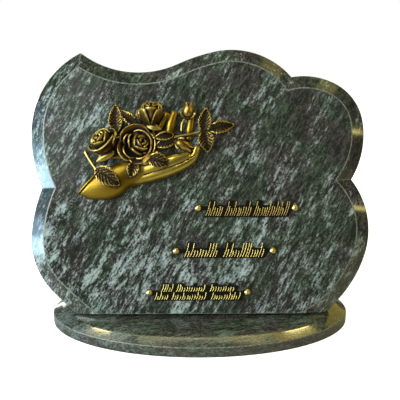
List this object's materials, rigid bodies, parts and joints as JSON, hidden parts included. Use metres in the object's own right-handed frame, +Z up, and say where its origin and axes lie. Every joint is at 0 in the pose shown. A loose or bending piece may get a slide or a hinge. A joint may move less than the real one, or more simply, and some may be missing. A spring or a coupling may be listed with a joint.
{
  "type": "memorial plaque",
  "caption": "Lobed granite memorial tablet leaning back on an elliptical granite foot, with a bronze hand and roses, bronze strips and domed screws.",
  "frame": {"origin": "centre of the base's underside", "axes": "+Z up, +X to the viewer's right along the tablet, -Y towards the viewer"},
  "size_m": [0.402, 0.21, 0.3201],
  "materials": {
    "granite": "polished, dark grey-green with pale streaks",
    "casting_bronze": "cast bronze, gold on the raised parts and near black in the hollows",
    "strip_bronze": "cast bronze, dark ground with rubbed olive-gold strokes",
    "screw_brass": "polished, pale gold"
  },
  "bodies": {
    "root": {"base": "granite", "tablet": "granite", "hand_and_roses": "casting_bronze", "inscription_strip_top": "strip_bronze", "inscription_strip_middle": "strip_bronze", "inscription_strip_bottom": "strip_bronze", "screw_top_left": "screw_brass", "screw_top_right": "screw_brass", "screw_middle_left": "screw_brass", "screw_middle_right": "screw_brass", "screw_bottom_left": "screw_brass", "screw_bottom_right": "screw_brass"}
  },
  "joints": []
}
